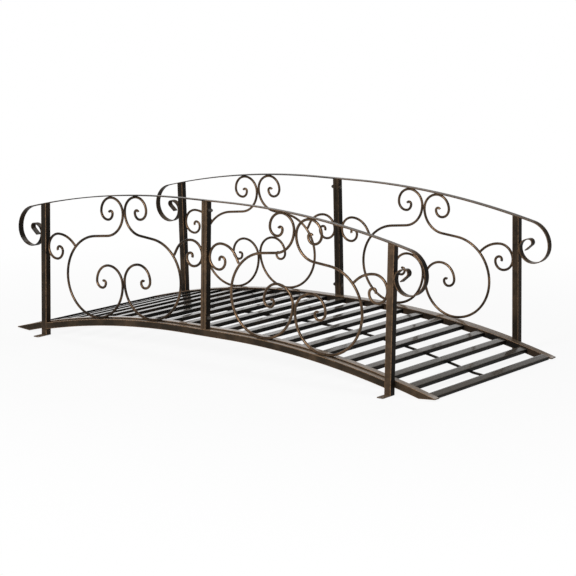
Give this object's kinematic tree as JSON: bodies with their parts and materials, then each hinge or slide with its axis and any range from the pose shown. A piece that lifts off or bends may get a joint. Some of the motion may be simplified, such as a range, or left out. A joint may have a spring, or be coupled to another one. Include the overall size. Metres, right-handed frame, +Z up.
{
  "type": "garden bridge",
  "caption": "Arched garden footbridge of dark bronze coated steel, with a slatted deck, square posts and railings of bent scroll rods under rolled handrails.",
  "frame": {"origin": "on the ground, at the centre of the bridge's plan", "axes": "+X along the bridge towards its right end, +Y across it towards its back railing, +Z up"},
  "size_m": [2.036, 0.972, 0.613],
  "materials": {
    "bronze_tube": "satin antique bronze coat, rubbed on the edges",
    "bronze_slat": "satin dark coat",
    "bronze_rod": "satin antique bronze coat, brushed brown"
  },
  "bodies": {
    "root": {"back_left_bottom_rail": "bronze_tube", "back_left_end_post": "bronze_tube", "back_left_foot": "bronze_tube", "back_left_handrail": "bronze_rod", "back_left_mid_post": "bronze_tube", "back_left_scrolls": "bronze_rod", "back_left_side_beam": "bronze_tube", "back_left_side_curls": "bronze_rod", "back_right_bottom_rail": "bronze_tube", "back_right_end_post": "bronze_tube", "back_right_foot": "bronze_tube", "back_right_handrail": "bronze_rod", "back_right_mid_post": "bronze_tube", "back_right_scrolls": "bronze_rod", "back_right_side_beam": "bronze_tube", "back_right_side_curls": "bronze_rod", "front_left_bottom_rail": "bronze_tube", "front_left_end_post": "bronze_tube", "front_left_foot": "bronze_tube", "front_left_handrail": "bronze_rod", "front_left_mid_post": "bronze_tube", "front_left_scrolls": "bronze_rod", "front_left_side_beam": "bronze_tube", "front_left_side_curls": "bronze_rod", "front_right_bottom_rail": "bronze_tube", "front_right_end_post": "bronze_tube", "front_right_foot": "bronze_tube", "front_right_handrail": "bronze_rod", "front_right_mid_post": "bronze_tube", "front_right_scrolls": "bronze_rod", "front_right_side_beam": "bronze_tube", "front_right_side_curls": "bronze_rod", "left_deck_brace": "bronze_slat", "left_deck_slats": "bronze_slat", "right_deck_brace": "bronze_slat", "right_deck_slats": "bronze_slat"}
  },
  "joints": []
}
